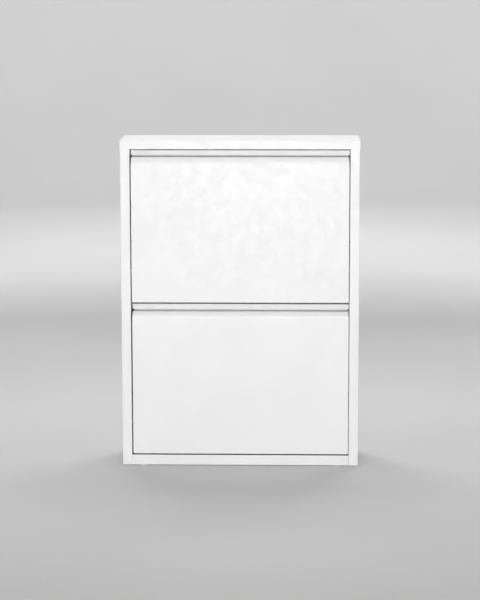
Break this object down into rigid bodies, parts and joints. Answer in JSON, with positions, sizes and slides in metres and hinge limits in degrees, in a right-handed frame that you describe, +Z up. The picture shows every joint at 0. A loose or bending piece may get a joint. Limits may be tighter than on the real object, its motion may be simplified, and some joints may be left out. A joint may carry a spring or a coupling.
{
  "type": "shoe cabinet",
  "caption": "Slim wall-side steel shoe cabinet with tilt-out flaps that each hold a row of upright shoes behind a bullnose front.",
  "frame": {"origin": "centre of the footprint, on the floor under the glides", "axes": "+X to the right seen from the front, +Y towards the wall, +Z up"},
  "size_m": [0.5, 0.14, 0.69],
  "materials": {
    "white_powder_coat": "fine satin powder coat",
    "white_nylon": "moulded, matt",
    "zinc_plate": "bright zinc plated",
    "bright_rod": "nickel plated, satin",
    "black_rubber": "matt"
  },
  "bodies": {
    "cabinet": {"left_side_panel": "white_powder_coat", "right_side_panel": "white_powder_coat", "lid": "white_powder_coat", "bottom_pan": "white_powder_coat", "back_panel": "white_powder_coat", "cross_brace": "white_powder_coat", "left_lid_bracket": "white_powder_coat", "right_lid_bracket": "white_powder_coat", "lid_studs": "zinc_plate", "lid_nuts": "zinc_plate", "wall_fixing_plates": "zinc_plate", "back_rivets": "zinc_plate", "pivot_studs": "zinc_plate", "stop_pins": "zinc_plate", "stop_sleeves": "black_rubber", "floor_glides": "white_nylon"},
    "upper_flap": {"upper_flap_front": "white_powder_coat", "upper_flap_left_cheek": "white_powder_coat", "upper_flap_right_cheek": "white_powder_coat", "upper_flap_shelf": "white_powder_coat", "upper_flap_stiffener": "white_powder_coat", "upper_flap_guard_rods": "bright_rod", "upper_flap_rod_collars": "white_nylon", "upper_flap_bushes": "white_nylon"},
    "lower_flap": {"lower_flap_front": "white_powder_coat", "lower_flap_left_cheek": "white_powder_coat", "lower_flap_right_cheek": "white_powder_coat", "lower_flap_shelf": "white_powder_coat", "lower_flap_stiffener": "white_powder_coat", "lower_flap_guard_rods": "bright_rod", "lower_flap_rod_collars": "white_nylon", "lower_flap_bushes": "white_nylon"}
  },
  "joints": [
    {"name": "upper_flap_tilt", "type": "hinge", "parent": "cabinet", "child": "upper_flap", "pos_m": [0, -0.056, 0.4168], "axis": [1, 0, 0], "range_deg": [0, 40]},
    {"name": "lower_flap_tilt", "type": "hinge", "parent": "cabinet", "child": "lower_flap", "pos_m": [0, -0.056, 0.0922], "axis": [1, 0, 0], "range_deg": [0, 40]}
  ]
}
